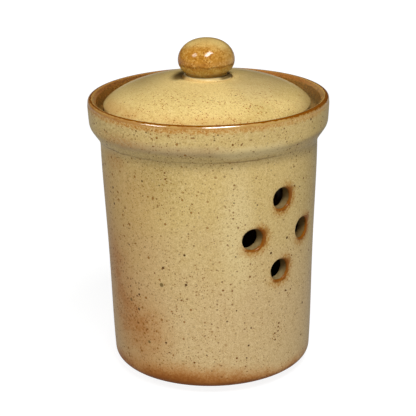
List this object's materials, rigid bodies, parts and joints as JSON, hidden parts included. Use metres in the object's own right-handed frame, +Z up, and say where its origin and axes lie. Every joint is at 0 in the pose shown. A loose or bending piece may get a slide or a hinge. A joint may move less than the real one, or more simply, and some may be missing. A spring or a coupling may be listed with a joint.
{
  "type": "shallot storage jar",
  "caption": "Round glazed stoneware crock with a heavy collar, vent holes punched through its wall, and a domed lift-off lid with a ball knob.",
  "frame": {"origin": "centre of the foot, on the surface that the jar stands on", "axes": "+Z up along the jar's axis; -Y is the plain front; the two groups of vent holes face +X and -X"},
  "size_m": [0.14, 0.14, 0.1968],
  "materials": {
    "jar_glaze": "glossy straw-coloured stoneware glaze with fine iron specks and rust-brown edges",
    "lid_glaze": "glossy straw-coloured stoneware glaze with fine iron specks",
    "knob_glaze": "glossy mottled orange-brown stoneware glaze"
  },
  "bodies": {
    "jar": {"jar": "jar_glaze"},
    "lid": {"lid": "lid_glaze", "knob": "knob_glaze"}
  },
  "joints": [
    {"name": "lid_lift", "type": "slide", "parent": "jar", "child": "lid", "axis": [0, 0, 1], "range_m": [0, 0.15]}
  ]
}
